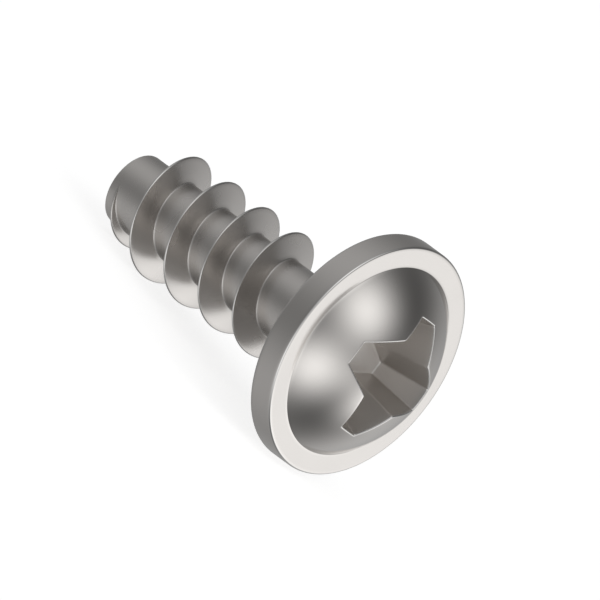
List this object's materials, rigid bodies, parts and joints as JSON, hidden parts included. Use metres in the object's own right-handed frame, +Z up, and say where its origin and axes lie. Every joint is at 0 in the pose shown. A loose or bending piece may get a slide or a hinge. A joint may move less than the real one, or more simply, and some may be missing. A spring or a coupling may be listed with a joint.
{
  "type": "self-tapping screw",
  "caption": "Self-tapping screw with a washer flange, domed crown, cross recess, coarse right-hand thread and blunt end, lying on its side.",
  "frame": {"origin": "on the ground under the middle of the lying screw's outer box", "axes": "+X along the length, towards the head; +Z up from the ground. The screw's own axis lies in the XZ plane and rises 14.3 degrees towards the head, which rests on its rim while the thread touches the ground near the blunt end"},
  "size_m": [0.0125, 0.008, 0.0079],
  "materials": {
    "steel": "satin, smooth as rolled, neutral grey with a slightly warm cast"
  },
  "bodies": {
    "root": {"screw": "steel"}
  },
  "joints": []
}
